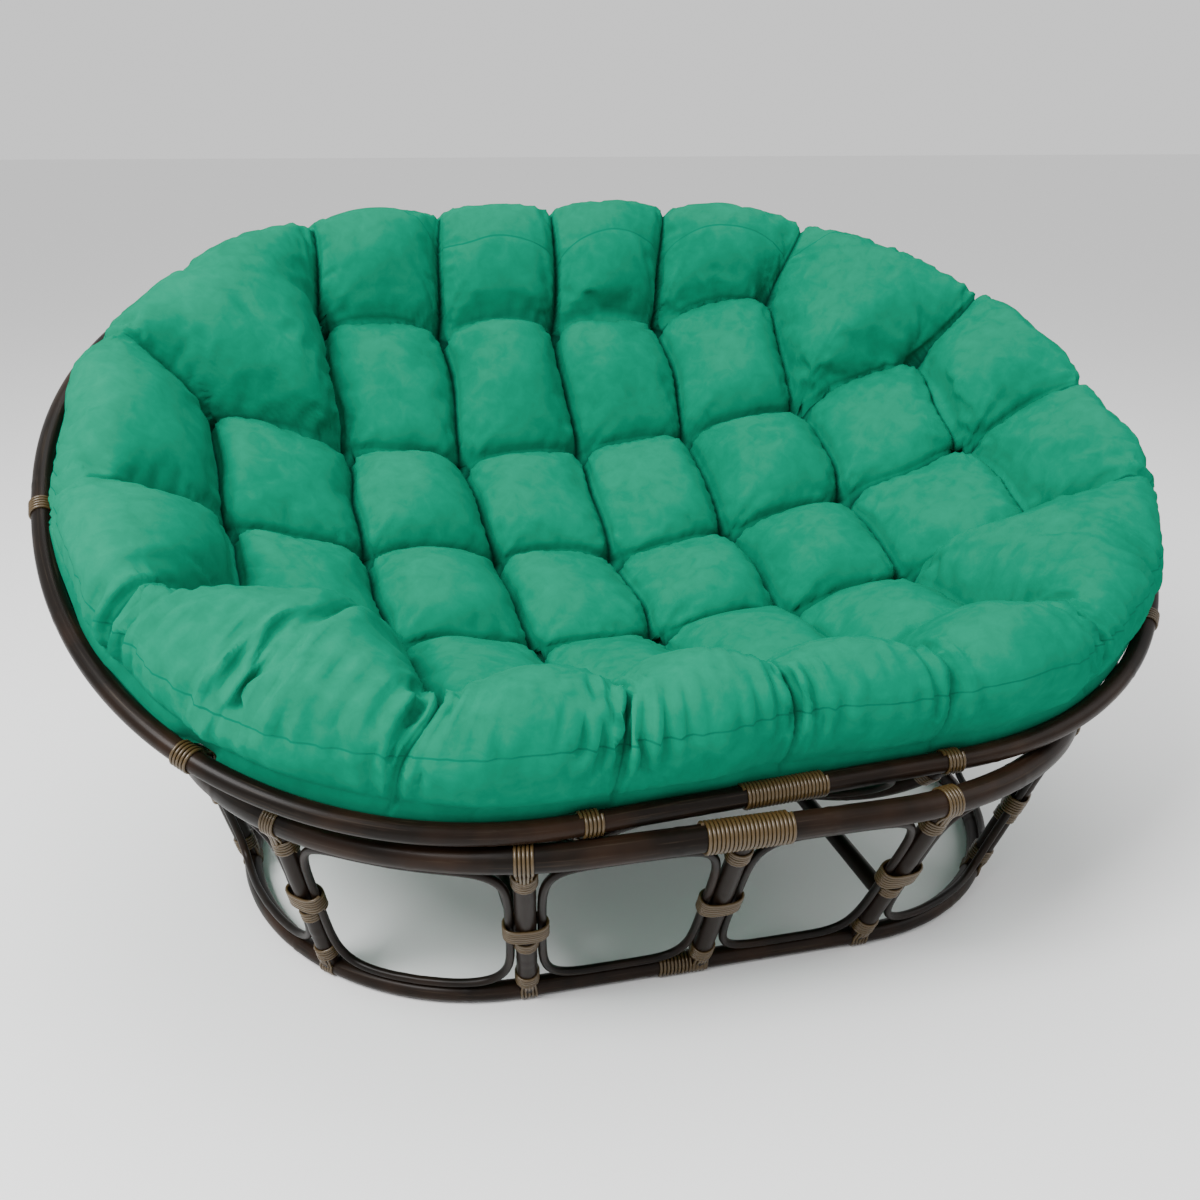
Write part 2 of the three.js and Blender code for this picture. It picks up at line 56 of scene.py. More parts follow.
# Even points round an oval whose middle stretch is straight, from its front's middle
def ovalRun(oval, count=2880):
    t = (np.arange(count) + 0.5) / count * 2 * np.pi - np.pi / 2
    c, s = np.cos(t), np.sin(t)
    end = (oval["length"] - oval["straight"]) / 2
    k = 2 / oval["squareness"]
    x = np.sign(c) * (np.abs(c) ** k * end + oval["straight"] / 2)
    y = np.sign(s) * np.abs(s) ** k * oval["width"] / 2
    run = np.stack([x, y, np.zeros(count)], 1)
    front = np.array([[0, -oval["width"] / 2, 0]])
    run = np.vstack([front, run, front])
    along = lengthsAlong(run)
    even = np.linspace(0, along[-1], count + 1)
    return np.stack([np.interp(even, along, run[:, i]) for i in range(3)], 1)


# A place on a ring: share 0 is its front's middle, 1 its right end, 2 its back and 3 its left end
def atShare(run, share):
    n = len(run) - 1
    place = (np.asarray(share, float) / 4 % 1) * n
    low = np.floor(place).astype(int) % n
    part = (place - np.floor(place))[..., None]
    return run[low] * (1 - part) + run[low + 1] * part


def runLength(run):
    return float(np.linalg.norm(np.diff(run, axis=0), axis=1).sum())


def unit(v):
    return v / np.maximum(np.linalg.norm(v, axis=-1, keepdims=True), 1e-12)


def tangentAt(run, share, reach=0.02):
    return unit(atShare(run, share + reach) - atShare(run, share - reach))


# Poles of round section along runs of points, as one object
def bendPoles(name, runs, sides, body, material, replaced=()):
    deselectAll()
    bpy.ops.curve.primitive_nurbs_path_add()
    pole = bpy.context.object
    pole.name = name
    curve = pole.data
    curve.splines.clear()
    curve.bevel_depth = 1
    curve.bevel_resolution = (sides - 4) // 2
    curve.use_fill_caps = True
    curve.twist_mode = "MINIMUM"
    for run in runs:
        points = run["points"]
        spline = curve.splines.new("POLY")
        spline.points.add(len(points) - 1)
        spline.points.foreach_set("co", np.c_[points, np.ones(len(points))].ravel())
        radius = np.broadcast_to(run["radius"], len(points))
        spline.points.foreach_set("radius", radius.astype(float))
        spline.use_cyclic_u = run.get("closed", False)
    bpy.ops.object.convert(target="MESH")
    pole = bpy.context.object
    grain = []   # metres along the pole, and the place round it, for the wood's grain
    for run in runs:
        points = run["points"]
        along = lengthsAlong(points)
        turn = np.arange(sides) / sides * 2 * np.pi
        offset = noise.uniform(0, 50)
        radius = np.broadcast_to(run["radius"], len(points))
        grain.append(np.stack([
            np.repeat(along + offset, sides),
            (radius[:, None] * np.cos(turn)).ravel() + offset,
            (radius[:, None] * np.sin(turn)).ravel(),
        ], 1))
    grain = np.vstack(grain)
    if len(grain) == len(pole.data.vertices):
        layer = pole.data.attributes.new("grain", "FLOAT_VECTOR", "POINT")
        layer.data.foreach_set("vector", grain.astype(np.float32).ravel())
    else:
        print("no grain on", name, len(grain), len(pole.data.vertices))
    bpy.ops.object.shade_smooth()
    pole.data.materials.clear()
    pole.data.materials.append(material)
    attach(pole, body)
    if replaced:
        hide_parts(*replaced)
    return pole


# A pole's thickness along its run: slow swelling, and a knob with a neck at each joint of the cane
caneJoints = {"every": 0.31, "swelling": 0.012, "knob": 0.045, "knobReach": 0.004, "neck": 0.02, "neckReach": 0.016}


def poleRadius(points, radius, jointEvery=caneJoints["every"]):
    along = lengthsAlong(points)
    total = along[-1]
    wave = sum(np.sin(along * 2 * np.pi * k / max(total, 0.3) + noise.uniform(0, 6.28)) for k in (2, 3, 5)) / 3
    result = radius * (1 + caneJoints["swelling"] * wave)
    place = noise.uniform(0.05, jointEvery)
    while place < total - 0.02:
        knob = caneJoints["knob"] * np.exp(-((along - place) / caneJoints["knobReach"]) ** 2)
        neck = caneJoints["neck"] * np.exp(-((along - place) / caneJoints["neckReach"]) ** 2)
        result = result * (1 + knob - neck)
        place += jointEvery * noise.uniform(0.8, 1.2)
    return result


# Materials
def newMaterial(name, **plain):
    material = bpy.data.materials.new(name)
    material.use_nodes = True
    shader = material.node_tree.nodes["Principled BSDF"]
    for socket, value in plain.items():
        shader.inputs[socket].default_value = value
    return material, material.node_tree.nodes, material.node_tree.links, shader


def addNode(nodes, kind, values=None, **settings):
    node = nodes.new("ShaderNode" + kind)
    for name, value in settings.items():
        setattr(node, name, value)
    for socket, value in (values or {}).items():
        node.inputs[socket].default_value = value
    return node


# Colour b over colour a by a mask
def addColorMix(nodes, links, mask, a, b):
    mix = addNode(nodes, "Mix", data_type="RGBA")
    links.new(mask, mix.inputs[0])
    for socket, color in ((6, a), (7, b)):
        if isinstance(color, tuple):
            mix.inputs[socket].default_value = (*color, 1)
        else:
            links.new(color, mix.inputs[socket])
    return mix.outputs[2]


# Streaks along the cane on broad dark and warm patches
def caneGrainGroup():
    group = bpy.data.node_groups.new("caneGrain", "ShaderNodeTree")
    for name, kind in (("Dark", "Color"), ("Warm", "Color"), ("Pale", "Color"),
                       ("Streak Length", "Float"), ("Streak Fineness", "Float")):
        group.interface.new_socket(name=name, in_out="INPUT", socket_type="NodeSocket" + kind)
    for name, kind in (("Color", "Color"), ("Roughness", "Float"), ("Height", "Float")):
        group.interface.new_socket(name=name, in_out="OUTPUT", socket_type="NodeSocket" + kind)
    nodes, links = group.nodes, group.links
    start, end = nodes.new("NodeGroupInput"), nodes.new("NodeGroupOutput")
    grain = addNode(nodes, "Attribute", attribute_name="grain")
    stretch = addNode(nodes, "CombineXYZ")
    for axis, socket in (("X", "Streak Length"), ("Y", "Streak Fineness"), ("Z", "Streak Fineness")):
        links.new(start.outputs[socket], stretch.inputs[axis])
    scaled = addNode(nodes, "VectorMath", operation="MULTIPLY")
    links.new(grain.outputs["Vector"], scaled.inputs[0])
    links.new(stretch.outputs["Vector"], scaled.inputs[1])
    streaks = addNode(nodes, "TexNoise", {"Scale": 1, "Detail": 5, "Roughness": 0.62})
    links.new(scaled.outputs["Vector"], streaks.inputs["Vector"])
    broad = addNode(nodes, "TexNoise", {"Scale": 9, "Detail": 3})
    links.new(grain.outputs["Vector"], broad.inputs["Vector"])
    warmMask = addNode(nodes, "MapRange", {"From Min": 0.44, "From Max": 0.68})
    links.new(broad.outputs["Fac"], warmMask.inputs["Value"])
    warmed = addColorMix(nodes, links, warmMask.outputs["Result"], start.outputs["Dark"], start.outputs["Warm"])
    paleMask = addNode(nodes, "MapRange", {"From Min": 0.56, "From Max": 0.8})
    links.new(streaks.outputs["Fac"], paleMask.inputs["Value"])
    links.new(addColorMix(nodes, links, paleMask.outputs["Result"], warmed, start.outputs["Pale"]), end.inputs["Color"])
    gloss = addNode(nodes, "MapRange", {"To Min": 0.26, "To Max": 0.5})
    links.new(streaks.outputs["Fac"], gloss.inputs["Value"])
    links.new(gloss.outputs["Result"], end.inputs["Roughness"])
    links.new(streaks.outputs["Fac"], end.inputs["Height"])
    return group


caneGrain = caneGrainGroup()


def caneMaterial(name, look):
    material, nodes, links, shader = newMaterial(name, **look["shader"])
    grain = nodes.new("ShaderNodeGroup")
    grain.node_tree = caneGrain
    for socket in ("Dark", "Warm", "Pale"):
        grain.inputs[socket].default_value = (*look[socket.lower()], 1)
    grain.inputs["Streak Length"].default_value = look["streakLength"]
    grain.inputs["Streak Fineness"].default_value = look["streakFineness"]
    links.new(grain.outputs["Color"], shader.inputs["Base Color"])
    links.new(grain.outputs["Roughness"], shader.inputs["Roughness"])
    bump = addNode(nodes, "Bump", {"Strength": look["bump"], "Distance": 0.0006})
    links.new(grain.outputs["Height"], bump.inputs["Height"])
    links.new(bump.outputs["Normal"], shader.inputs["Normal"])
    return material


rattanLook = {
    "dark": (0.0050, 0.0032, 0.0021), "warm": (0.019, 0.0092, 0.0048), "pale": (0.034, 0.024, 0.016),
    "streakLength": 9.0, "streakFineness": 330.0, "bump": 0.35,
    "shader": {"Coat Weight": 0.04, "Coat Roughness": 0.22, "Specular IOR Level": 0.1},
}
slimLook = {
    "dark": (0.0040, 0.0028, 0.0020), "warm": (0.012, 0.0065, 0.0040), "pale": (0.026, 0.018, 0.012),
    "streakLength": 9.0, "streakFineness": 420.0, "bump": 0.3,
    "shader": {"Coat Weight": 0.03, "Coat Roughness": 0.3, "Specular IOR Level": 0.12},
}
bindingLook = {
    "dark": (0.040, 0.024, 0.007), "warm": (0.105, 0.064, 0.018), "pale": (0.280, 0.190, 0.072),
    "streakLength": 14.0, "streakFineness": 700.0, "bump": 0.4,
    "shader": {"Coat Weight": 0.2, "Coat Roughness": 0.2, "Specular IOR Level": 0.4},
}
rattanDark = caneMaterial("rattanDark", rattanLook)
rattanSlim = caneMaterial("rattanSlim", slimLook)
caneBinding = caneMaterial("caneBinding", bindingLook)
print("cane materials made")

# Base
base = {
    "topRing": {"length": 1.338, "width": 1.019, "straight": 0.374, "squareness": 2,
                "height": 0.310, "radius": 0.0178},
    "footRing": {"length": 1.202, "width": 0.850, "straight": 0.505, "squareness": 2,
                 "height": 0.0146, "radius": 0.0134, "setBack": 0.071},
    "postShares": [0, 0.28, 0.615, 1, 1.385, 1.72, 2, -1.72, -1.385, -1, -0.615, -0.28],
    "postRadius": 0.0138, "postShort": 0.006,
    "loopRadius": 0.006, "loopGap": 0.0016, "loopSideGap": 0.0006,
    "solidRadii": {"topRing": 0.018, "footRing": 0.016, "post": 0.014},   # what the loops keep clear of
    "crossBars": {"radius": 0.0128, "height": 0.112, "short": 0.010, "posts": [(1, 5), (11, 7)]},
    "strandRadius": 0.0021, "strandPitch": 0.0049, "strandTurns": 5,
    "bindings": {"belowTop": 0.044, "aboveFoot": 0.038, "strapsDown": 0.036, "strapsUp": 0.032,
                 "middleTurns": 6, "middleGap": 0.0012, "extraTurns": 4, "extraBelow": 0.032,
                 "extraShares": (0.2, 0.7), "aboveFloor": 0.0002},
    "topSplice": {"share": 0, "turns": 21, "pitch": 0.0053, "strand": 0.0023},
    "footSplice": {"share": -0.03, "turns": 13, "pitch": 0.0053, "strand": 0.0020, "aboveFloor": 0.0023},
}
topRun = ovalRun(base["topRing"]) + [chairMiddle["x"], chairMiddle["y"], base["topRing"]["height"]]
footRun = ovalRun(base["footRing"]) + [chairMiddle["x"], chairMiddle["y"] + base["footRing"]["setBack"],
                                       base["footRing"]["height"]]


def ringPole(name, run, radius, body, replaced):
    points = run[:-1:4]
    bendPoles(name, [{"points": points, "radius": poleRadius(points, radius), "closed": True}],
              16, body, rattanDark, [replaced])


ringPole("baseTopRing", topRun, base["topRing"]["radius"], "base", "base_top_ring")
ringPole("baseFootRing", footRun, base["footRing"]["radius"], "base", "base_foot_ring")


# Cane bindings. Each function gives runs of strands, which bendPoles joins into one piece
def helix(centre, axis, side, turns, pitch, reachSide, reachOut, start=0.0, points=16):
    n = int(turns * points) + 1
    turn = np.arange(n) / points
    out = unit(np.cross(axis, side))
    angle = 2 * np.pi * turn + start
    along = (turn - turns / 2) * pitch
    wobble = noise.normal(0, 0.00012, n)
    return (centre + np.outer(along, axis) + np.outer(np.cos(angle) * (reachSide + wobble), side)
            + np.outer(np.sin(angle) * (reachOut + wobble), out))


# A binding of flat oval turns round an upright and the slim loops beside it
def ovalTurns(centre, axis, side, turns, pitch, halfWidth, halfDepth, points=28, squareness=0.75):
    out = unit(np.cross(axis, side))
    n = int(turns * points) + 1
    turn = np.arange(n) / points
    angle = 2 * np.pi * turn
    c, s = np.cos(angle), np.sin(angle)
    x = np.sign(c) * np.abs(c) ** squareness * halfWidth
    y = np.sign(s) * np.abs(s) ** squareness * halfDepth
    along = (turn - turns / 2) * pitch
    return centre + np.outer(along, axis) + np.outer(x, side) + np.outer(y, out)


# Straps over a ring and down both faces of an upright
def ringStraps(ringPoint, tangent, down, ringRadius, postRadius, count, pitch, reachDown, strand):
    straps = []
    out = unit(np.cross(tangent, down))
    for k in range(count):
        offset = (k - (count - 1) / 2) * pitch
        depth = math.sqrt(max(postRadius ** 2 - offset ** 2, (0.4 * postRadius) ** 2))
        angles = np.radians(np.linspace(-128, 128, 17))
        reach = ringRadius + strand * 0.55
        over = (ringPoint + tangent * offset + np.outer(-np.cos(angles) * reach, down)
                + np.outer(np.sin(angles) * reach, out))
        drawnIn = offset * 0.82 - offset
        ends = []
        for sign in (-1, 1):
            foot = ringPoint + tangent * (offset + drawnIn)
            near = foot + down * reachDown * 0.72 + out * sign * (depth + strand * 0.5)
            far = foot + down * reachDown + out * sign * (depth + strand * 0.1)
            ends.append((near, far))
        straps.append(np.vstack([ends[0][1], ends[0][0], over, ends[1][0], ends[1][1]]))
    return straps


def strandRuns(lines, strand):
    return [{"points": line, "radius": strand} for line in lines]


posts = []
for share in base["postShares"]:
    top, foot = atShare(topRun, share), atShare(footRun, share)
    along = unit(atShare(topRun, share + 0.02) - atShare(topRun, share - 0.02)
                 + atShare(footRun, share + 0.02) - atShare(footRun, share - 0.02))
    posts.append({"share": share, "top": top, "foot": foot, "up": unit(top - foot), "along": along,
                  "length": float(np.linalg.norm(top - foot))})

strand, pitch, strandTurns = base["strandRadius"], base["strandPitch"], base["strandTurns"]
bindings = base["bindings"]
for i, post in enumerate(posts):
    up, side = post["up"], post["along"]
    heights = np.linspace(base["postShort"], post["length"] - base["postShort"], 48)
    points = post["foot"] + np.outer(heights, up)
    bendPoles(f"basePost{i + 1:02d}", [{"points": points, "radius": poleRadius(points, base["postRadius"], 0.22)}],
              16, "base", rattanDark, [f"base_post_{i + 1:02d}"])
    topTangent, footTangent = tangentAt(topRun, post["share"]), tangentAt(footRun, post["share"])
    reach = base["postRadius"] + strand * 0.5
    upper = post["top"] - up * bindings["belowTop"]
    lower = post["foot"] + up * bindings["aboveFoot"]
    lines = [helix(upper, up, side, strandTurns, pitch, reach, reach),
             helix(lower, up, side, strandTurns, pitch, reach, reach, 2.1)]
    if post["share"] != 0:   # the front middle one has the top ring's splice over it
        lines += ringStraps(post["top"], topTangent, -up, base["topRing"]["radius"], base["postRadius"],
                            strandTurns, pitch, bindings["strapsDown"], strand)
    footStraps = ringStraps(post["foot"], footTangent, up, base["footRing"]["radius"] - strand * 0.2,
                            base["postRadius"], strandTurns, pitch, bindings["strapsUp"], strand * 0.8)
    lines += [np.c_[line[:, :2], np.maximum(line[:, 2], strand + bindings["aboveFloor"])] for line in footStraps]
    middle = (post["top"] + post["foot"]) / 2
    reachOverLoops = base["postRadius"] + 2 * base["loopRadius"] + bindings["middleGap"] + strand * 0.5
    lines.append(ovalTurns(middle, up, side, bindings["middleTurns"], pitch, reachOverLoops,
                           base["postRadius"] + strand * 0.5))
    if bindings["extraShares"][0] < abs(post["share"]) < bindings["extraShares"][1]:
        lines.append(helix(middle - up * bindings["extraBelow"], up, side, bindings["extraTurns"], pitch,
                           reach, reach, 1.0))
    bendPoles(f"basePostBinding{i + 1:02d}", strandRuns(lines, strand), 6, "base", caneBinding)
print("posts and their bindings made")


# Slim loops in the bays, on the same four-sided run as their solids
def bayLoop(surface, samples=160, bulge=5):
    angle = np.pi / 2 + np.linspace(0, 2 * np.pi, samples + 1)[:-1]
    c, s = np.cos(angle), np.sin(angle)
    across = np.sign(c) * np.abs(c) ** (2 / bulge)
    up = np.sign(s) * np.abs(s) ** (2 / bulge)
    points = surface(across, up)
    closed = np.vstack([points, points[:1]])
    along = lengthsAlong(closed)
    even = np.linspace(0, along[-1], samples + 1)[:-1]
    return np.stack([np.interp(even, along, closed[:, i]) for i in range(3)], 1)


footLength, topLength = runLength(footRun), runLength(topRun)
for i, post in enumerate(posts):
    second = posts[(i + 1) % len(posts)]
    wide = (second["share"] - post["share"]) % 4

    def surface(across, up, post=post, wide=wide):
        lowShare = (base["solidRadii"]["footRing"] + base["loopRadius"] + base["loopGap"]) / post["length"]
        highShare = 1 - (base["solidRadii"]["topRing"] + base["loopRadius"] + base["loopGap"]) / post["length"]
        rise = (lowShare + (up + 1) / 2 * (highShare - lowShare))[:, None]
        bayWidth = (footLength * (1 - rise[:, 0]) + topLength * rise[:, 0]) * wide / 4
        inset = (base["solidRadii"]["post"] + base["loopRadius"] + base["loopSideGap"]) / bayWidth
        share = post["share"] + wide * (inset + (across + 1) / 2 * (1 - 2 * inset))
        return atShare(footRun, share) * (1 - rise) + atShare(topRun, share) * rise

    loop = bayLoop(surface)
    loopRun = {"points": loop, "radius": poleRadius(loop, base["loopRadius"] - 0.0001, 0.25), "closed": True}
    bendPoles(f"baseLoop{i + 1:02d}", [loopRun], 12, "base", rattanSlim, [f"base_loop_{i + 1:02d}"])

bars = base["crossBars"]
for (first, last), side in zip(bars["posts"], ("right", "left")):
    ends = []
    for k in (first, last):
        foot, top = posts[k]["foot"], posts[k]["top"]
        ends.append(foot + (top - foot) * (bars["height"] - foot[2]) / (top[2] - foot[2]))
    axis = unit(ends[1] - ends[0])
    points = ends[0] + np.outer(np.linspace(bars["short"], np.linalg.norm(ends[1] - ends[0]) - bars["short"], 60), axis)
    bendPoles(f"baseCrossBar{side.capitalize()}", [{"points": points, "radius": poleRadius(points, bars["radius"])}],
              14, "base", rattanDark, [f"base_cross_bar_{side}"])


# A splice winding along a ring
def spliceTurns(run, share, ringRadius, turns, pitch, strand, points=18):
    turn = np.arange(turns * points + 1) / points
    shares = share + (turn - turns / 2) * pitch / (runLength(run) / 4)
    centre = atShare(run, shares)
    axis = tangentAt(run, shares, 0.01)
    out = unit(np.cross([0, 0, 1], axis))
    up = np.cross(axis, out)
    angle = 2 * np.pi * turn
    reach = ringRadius + strand * 0.55
    return centre + reach * (np.cos(angle)[:, None] * up + np.sin(angle)[:, None] * out)


def splicePole(name, winding, strand, body, replaced=()):
    bendPoles(name, strandRuns([winding], strand), 8, body, caneBinding, replaced)


def baseSplice(splice, run, ringRadius):
    return spliceTurns(run, splice["share"], ringRadius, splice["turns"], splice["pitch"], splice["strand"])


topSplice = baseSplice(base["topSplice"], topRun, base["topRing"]["radius"])
splicePole("baseTopSplice", topSplice, base["topSplice"]["strand"], "base", ["base_top_splice_binding"])
footSplice = baseSplice(base["footSplice"], footRun, base["footRing"]["radius"])
footSplice[:, 2] = np.maximum(footSplice[:, 2], base["footSplice"]["aboveFloor"])
splicePole("baseFootSplice", footSplice, base["footSplice"]["strand"], "base")
print("base made")

# Bowl
bowl = {
    "rim": {"length": 1.651, "width": 1.259, "straight": 0.490, "squareness": 2.18, "radius": 0.0139},
    "depth": 0.468, "endLift": 0.55,
    "tilt": math.radians(25.9), "turn": math.radians(4.4),
    "place": [0.0147, 0.0046, 0.7876],
    "floorShare": 0.34, "floorRadius": 0.0119,
    "ribRadius": 0.0129, "loopRadius": 0.0054, "loopGap": 0.0016, "loopSideGap": 0.0006,
    "solidRadii": {"rim": 0.014, "floorRing": 0.012, "rib": 0.013, "loop": 0.0055},   # what the loops keep clear of
    "ribShares": [0.2, 0.6, 1, 1.4, 1.8, -1.8, -1.4, -1, -0.6, -0.2],
    "bindings": {"belowRim": 0.034, "strapsDown": 0.030, "floorTurns": 4},
    "rimTies": {"shares": [-0.2, 0.2], "turns": 5}, "rimSplice": {"share": 0.005, "turns": 22},
    "splicePitch": 0.0050, "spliceStrand": 0.0021,
}
halfWidth = bowl["rim"]["width"] / 2
arcRadius = (halfWidth ** 2 + bowl["depth"] ** 2) / (2 * bowl["depth"])
arcRise = arcRadius - bowl["depth"]
rimRun = ovalRun(bowl["rim"])
tiltCos, tiltSin = math.cos(bowl["tilt"]), math.sin(bowl["tilt"])
turnCos, turnSin = math.cos(bowl["turn"]), math.sin(bowl["turn"])
tilted = np.array([[1, 0, 0], [0, tiltCos, -tiltSin], [0, tiltSin, tiltCos]])
turned = np.array([[turnCos, -turnSin, 0], [turnSin, turnCos, 0], [0, 0, 1]])
bowlTurned = turned @ tilted
bowlPlace = np.array(bowl["place"]) + [chairMiddle["x"], chairMiddle["y"], 0]


# From the bowl's own frame, whose rim lies on its floor plan, to the chair's
def toChair(points):
    return (points - [0, 0, arcRise]) @ bowlTurned.T + bowlPlace


# Points of the bowl's shell below the rim: rho is 1 at the rim and 0 at the lowest point
def lowered(rimPoint, rho):
    rho = np.asarray(rho, float)
    point = rimPoint * rho[..., None]
    arc = arcRise - np.sqrt(arcRadius ** 2 - (rho * halfWidth) ** 2)
    height = arc * (1 - bowl["endLift"] * (2 * point[..., 0] / bowl["rim"]["length"]) ** 2)
    return np.stack([point[..., 0], point[..., 1], height], -1)


def bowlPole(name, points, radius, sides, material, replaced, closed=False, jointEvery=caneJoints["every"]):
    world = toChair(points)
    return bendPoles(name, [{"points": world, "radius": poleRadius(world, radius, jointEvery), "closed": closed}],
                     sides, "bowl", material, replaced)


bowlPole("bowlRim", rimRun[:-1:4], bowl["rim"]["radius"], 16, rattanDark, ["bowl_rim"], True)
floorRun = lowered(rimRun, np.full(len(rimRun), bowl["floorShare"]))
bowlPole("bowlFloorRing", floorRun[:-1:8], bowl["floorRadius"], 14, rattanDark, ["bowl_floor_ring"], True)
for i, share in enumerate(bowl["ribShares"]):
    rho = np.linspace(0.992, bowl["floorShare"] + 0.01, 90)
    rib = lowered(np.repeat(atShare(rimRun, share)[None], len(rho), 0), rho)
    bowlPole(f"bowlRib{i + 1:02d}", rib, bowl["ribRadius"], 14, rattanDark, [f"bowl_rib_{i + 1:02d}"])
    world = toChair(rib)
    tangent = unit(toChair(atShare(rimRun, share + 0.02)) - toChair(atShare(rimRun, share - 0.02)))
    down = unit(world[6] - world[0])
    upper = world[0] + down * bowl["bindings"]["belowRim"]
    reach = bowl["ribRadius"] + strand * 0.5
    lines = [helix(upper, down, unit(tangent - down * (tangent @ down)), strandTurns, pitch, reach, reach)]
    if share not in bowl["rimTies"]["shares"]:
        lines += ringStraps(toChair(atShare(rimRun, share)), tangent, down, bowl["rim"]["radius"], bowl["ribRadius"],
                            strandTurns, pitch, bowl["bindings"]["strapsDown"], strand)
    k = len(rib) // 2
    axis = unit(world[k + 3] - world[k - 3])
    side = unit(tangent - axis * (tangent @ axis))
    reachOverLoops = bowl["ribRadius"] + 2 * bowl["loopRadius"] + strand * 0.6
    lines.append(ovalTurns(world[k], axis, side, strandTurns, pitch, reachOverLoops, reach))
    lines.append(helix(world[-5], unit(world[-3] - world[-7]), side, bowl["bindings"]["floorTurns"], pitch, reach, reach))
    bendPoles(f"bowlRibBinding{i + 1:02d}", strandRuns(lines, strand), 6, "bowl", caneBinding)

rimLength = runLength(rimRun)
for i, share in enumerate(bowl["ribShares"]):
    wide = (bowl["ribShares"][(i + 1) % len(bowl["ribShares"])] - share) % 4

    def surface(across, up, share=share, wide=wide):
        solid = bowl["solidRadii"]
        topInset = solid["rim"] + solid["loop"] + bowl["loopGap"]
        lowInset = solid["floorRing"] + solid["loop"] + bowl["loopGap"]
        rho = np.linspace(bowl["floorShare"], 1, 81)
        inset = (solid["rib"] + solid["loop"] + bowl["loopSideGap"]) / (rimLength * rho * wide / 4)
        rows = []
        for a, u in zip(across, up):
            radial = lowered(atShare(rimRun, share + wide * (inset + (a + 1) / 2 * (1 - 2 * inset))), rho)
            along = lengthsAlong(radial)
            place = lowInset + (u + 1) / 2 * (along[-1] - lowInset - topInset)
            rows.append([np.interp(place, along, radial[:, j]) for j in range(3)])
        return np.array(rows)

    bowlPole(f"bowlLoop{i + 1:02d}", bayLoop(surface), bowl["loopRadius"], 10, rattanSlim,
             [f"bowl_loop_{i + 1:02d}"], True, 0.25)


# Turns along the rim: short ties at the two front ribs, and the long splice between them
def rimWinding(name, share, turns, replaced=()):
    winding = toChair(spliceTurns(rimRun, share, bowl["rim"]["radius"], turns, bowl["splicePitch"], bowl["spliceStrand"]))
    splicePole(name, winding, bowl["spliceStrand"], "bowl", replaced)


rimWinding("bowlRimTieLeft", bowl["rimTies"]["shares"][0], bowl["rimTies"]["turns"])
rimWinding("bowlRimTieRight", bowl["rimTies"]["shares"][1], bowl["rimTies"]["turns"], ["bowl_rim_splice_binding"])
rimWinding("bowlRimSplice", bowl["rimSplice"]["share"], bowl["rimSplice"]["turns"])
print("bowl made")

# Cushion
cushion = {
    "pitchX": 0.206, "pitchY": 0.223, "shiftX": 0.025, "shiftY": 0.015,
    "tuftHeight": 0.052, "seatDepth": 0.300, "fullness": 2.2, "frontLift": 0.090,
    "creaseRise": 0.040, "pillowRise": 0.096,
    "crest": 0.098, "frontCrest": 0.052, "topShift": 0.022,
    "bulge": 0.983, "crestShare": 0.952, "frontCrestShare": 0.882,
    "lobeDrop": 0.020, "lobePull": 0.012,
    "cellSteps": 32, "outerSteps": 40, "heldWidth": 0.007,
    # down the edge's face: how far in towards the crest, and the part of the crest's height
    "edgeAt": [0, 0.11, 0.24, 0.36, 0.50, 0.66, 0.82, 1.0],
    "edgeInwards": [1, 0.72, 0.44, 0.20, 0.05, 0, 0.03, 0.12],
    "edgeHeights": [1, 0.985, 0.93, 0.83, 0.67, 0.47, 0.29, 0.16],
    # beside the rim: inset from its centreline, height, and the share that a rib pushes it to
    "lowerEdge": [(0.0142, 0.008, 1.0), (0.0147, -0.002, 0.992), (0.0152, -0.011, 0.984), (0.0170, -0.020, 0.974)],
    "overRibs": 0.004, "ribBerth": 0.016, "ribEase": 0.022,
    "soleShares": [0.958, 0.94, 0.91, 0.87, 0.83, 0.79, 0.75, 0.7, 0.65, 0.6,
                   0.54, 0.48, 0.42, 0.36, 0.3, 0.24, 0.18, 0.12, 0.06, 0],
    "foldReach": 0.022,
    "gatherBack": 0.0018, "gatherFront": 0.0054, "gatherWaves": 3, "gatherReach": (0.030, 0.085),
    "gatherSpacing": (0.021, 0.038), "gatherSlant": 0.22, "gatherStart": 0.012,
    "bandMiddle": 0.03, "bandReach": 0.085,
}
rimAngle = np.arctan2(rimRun[:-1, 1], rimRun[:-1, 0])
rimOrder = np.argsort(rimAngle)
rimAngleSorted = np.r_[rimAngle[rimOrder], rimAngle[rimOrder][0] + 2 * np.pi]
rimReach = np.linalg.norm(rimRun[:-1], axis=1)[rimOrder]
rimReach = np.r_[rimReach, rimReach[0]]


# The rim's place in a direction from the bowl's middle, and how far it is
def rimToward(x, y):
    angle = np.arctan2(y, x)
    angle = np.where(angle < rimAngleSorted[0], angle + 2 * np.pi, angle)
    reach = np.interp(angle, rimAngleSorted, rimReach)
    return np.stack([np.cos(angle) * reach, np.sin(angle) * reach], -1), reach


# 1 at the front's middle, 0 over the back half
def frontness(y):
    return np.maximum(0, -y / halfWidth)


def seatHeight(x, y):
    rho = np.hypot(x, y) / rimToward(x, y)[1]
    sunk = cushion["seatDepth"] * (1 - rho ** cushion["fullness"])
    return cushion["tuftHeight"] - sunk + cushion["frontLift"] * frontness(y) ** 2


# A quarter circle's rise
def arch(u):
    u = np.clip(u, 0, 1)
    return np.sqrt(u * (2 - u))


